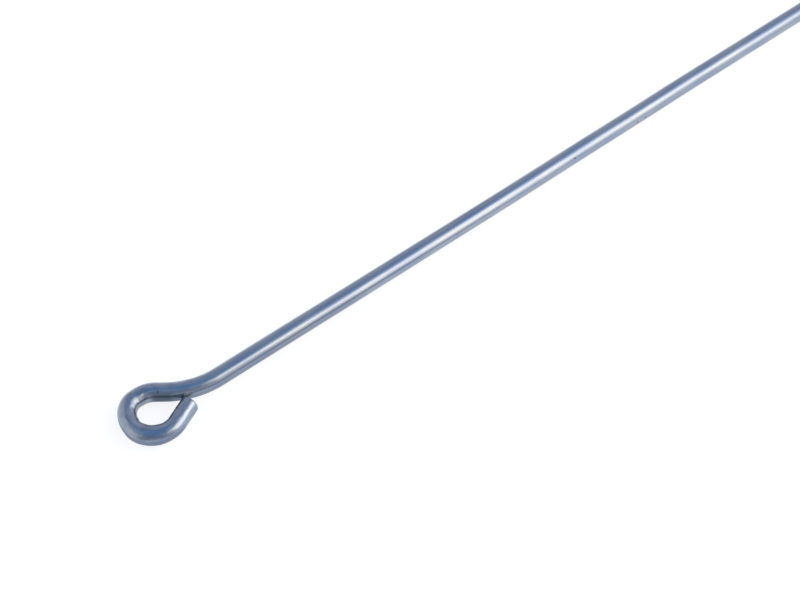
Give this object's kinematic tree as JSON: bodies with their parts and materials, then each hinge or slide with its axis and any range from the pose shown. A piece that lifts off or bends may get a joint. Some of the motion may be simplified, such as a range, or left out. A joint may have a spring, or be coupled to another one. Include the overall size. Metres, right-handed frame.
{
  "type": "eyed hanger wire",
  "caption": "Straight round steel wire with one end bent through a short neck into an almost closed eye, for hanging a ceiling or a fixture from a hook.",
  "frame": {"origin": "centre of the eye, halfway through the wire's thickness", "axes": "+X along the straight stem, away from the eye; +Z square to the eye's plane, upwards as the wire lies flat; the tip is on the -Y side"},
  "size_m": [0.25, 0.0148, 0.004],
  "materials": {
    "zinc_plated_steel": "bright zinc plating, passivated blue, over drawn steel wire, with faint lines along the wire"
  },
  "bodies": {
    "root": {"eyed_wire": "zinc_plated_steel"}
  },
  "joints": []
}
